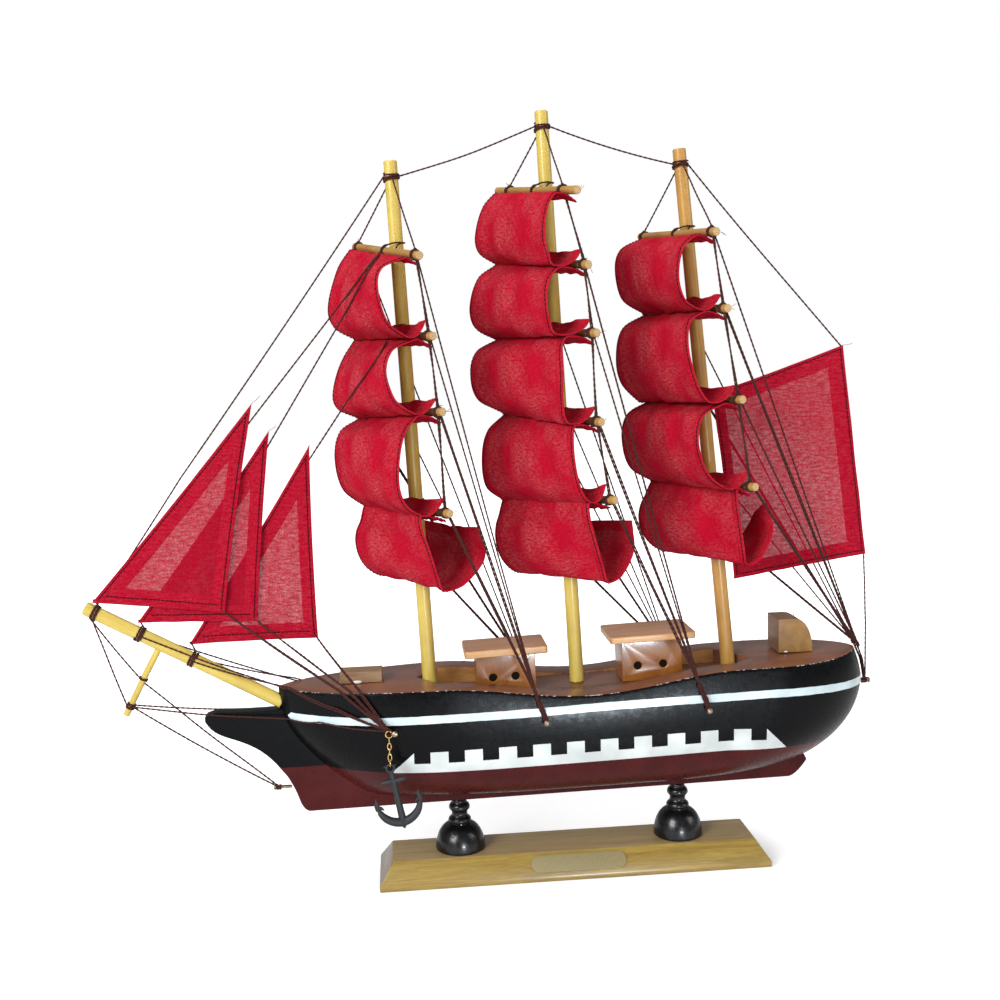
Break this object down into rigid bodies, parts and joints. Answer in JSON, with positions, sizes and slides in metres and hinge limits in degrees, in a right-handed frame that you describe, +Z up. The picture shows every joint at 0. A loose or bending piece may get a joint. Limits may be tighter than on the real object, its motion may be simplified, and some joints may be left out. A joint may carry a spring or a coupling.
{
  "type": "desk model sailing ship",
  "caption": "Desk model of a three-masted square-rigged sailing ship with cloth sails, thread rigging, deckhouses and a hanging anchor, carried by two turned posts on a bevelled plinth.",
  "frame": {"origin": "centre of the plinth's flat underside", "axes": "+X aft (the bow points to -X), -Y port, +Z up"},
  "size_m": [0.3301, 0.0723, 0.3149],
  "materials": {
    "plinth_wood": "stained and satin varnished",
    "post_black": "turned wood under gloss black paint",
    "plate_brass": "aged, blank",
    "hull_paint": "solid wood under gloss black, white and maroon paint",
    "keel_paint": "board under gloss dark maroon paint",
    "house_wood": "stained, varnished",
    "roof_wood": "board with brown top",
    "deck_wood": "stained",
    "spar_wood": "pale dowel, satin",
    "yard_wood": "tan dowel, satin",
    "sailcloth": "crimson plain-weave cotton with stitched hems",
    "thread": "dark brown twisted thread",
    "pin_brass": "browned",
    "chain_gold": "gilt",
    "anchor_iron": "blue-black"
  },
  "bodies": {
    "ship": {"stand_base": "plinth_wood", "stand_post_fore": "post_black", "stand_post_aft": "post_black", "name_plate": "plate_brass", "hull": "hull_paint", "keel_board": "keel_paint", "fore_deckhouse": "house_wood", "aft_deckhouse": "house_wood", "companion_hood": "house_wood", "fore_deckhouse_roof": "roof_wood", "aft_deckhouse_roof": "roof_wood", "foredeck_hatch": "deck_wood", "foremast": "spar_wood", "mainmast": "spar_wood", "mizzenmast": "spar_wood", "bowsprit": "spar_wood", "fore_yard_1": "yard_wood", "fore_yard_2": "yard_wood", "fore_yard_3": "yard_wood", "fore_yard_4": "yard_wood", "main_yard_1": "yard_wood", "main_yard_2": "yard_wood", "main_yard_3": "yard_wood", "main_yard_4": "yard_wood", "main_yard_5": "yard_wood", "mizzen_yard_1": "yard_wood", "mizzen_yard_2": "yard_wood", "mizzen_yard_3": "yard_wood", "mizzen_yard_4": "yard_wood", "martingale_boom": "yard_wood", "fore_sail_1": "sailcloth", "fore_sail_2": "sailcloth", "fore_sail_3": "sailcloth", "fore_sail_4": "sailcloth", "main_sail_1": "sailcloth", "main_sail_2": "sailcloth", "main_sail_3": "sailcloth", "main_sail_4": "sailcloth", "main_sail_5": "sailcloth", "mizzen_sail_1": "sailcloth", "mizzen_sail_2": "sailcloth", "mizzen_sail_3": "sailcloth", "mizzen_sail_4": "sailcloth", "jib_1": "sailcloth", "jib_2": "sailcloth", "jib_3": "sailcloth", "spanker": "sailcloth", "rigging": "thread", "port_fore_pin": "pin_brass", "port_mid_pin": "pin_brass", "port_aft_pin": "pin_brass", "starboard_fore_pin": "pin_brass", "starboard_mid_pin": "pin_brass", "starboard_aft_pin": "pin_brass", "stern_pin": "pin_brass", "stem_pin": "pin_brass"},
    "chain_upper": {"anchor_chain_upper": "chain_gold"},
    "chain_lower": {"anchor_chain_lower": "chain_gold"},
    "shackle_ring": {"anchor_ring": "chain_gold"},
    "anchor": {"anchor": "anchor_iron"}
  },
  "joints": [
    {"name": "chain_swing", "type": "hinge", "parent": "ship", "child": "chain_upper", "pos_m": [-0.076, -0.0276, 0.0703], "axis": [0, 1, 0], "range_deg": [-35, 35]},
    {"name": "chain_flex", "type": "hinge", "parent": "chain_upper", "child": "chain_lower", "pos_m": [-0.076, -0.0276, 0.06405], "axis": [0, 1, 0], "range_deg": [-35, 35]},
    {"name": "ring_swing", "type": "hinge", "parent": "chain_lower", "child": "shackle_ring", "pos_m": [-0.076, -0.0276, 0.05955], "axis": [-1, 0, 0], "range_deg": [0, 45]},
    {"name": "anchor_swing", "type": "hinge", "parent": "shackle_ring", "child": "anchor", "pos_m": [-0.076, -0.0276, 0.0572], "axis": [0, 1, 0], "range_deg": [-40, 40]}
  ]
}
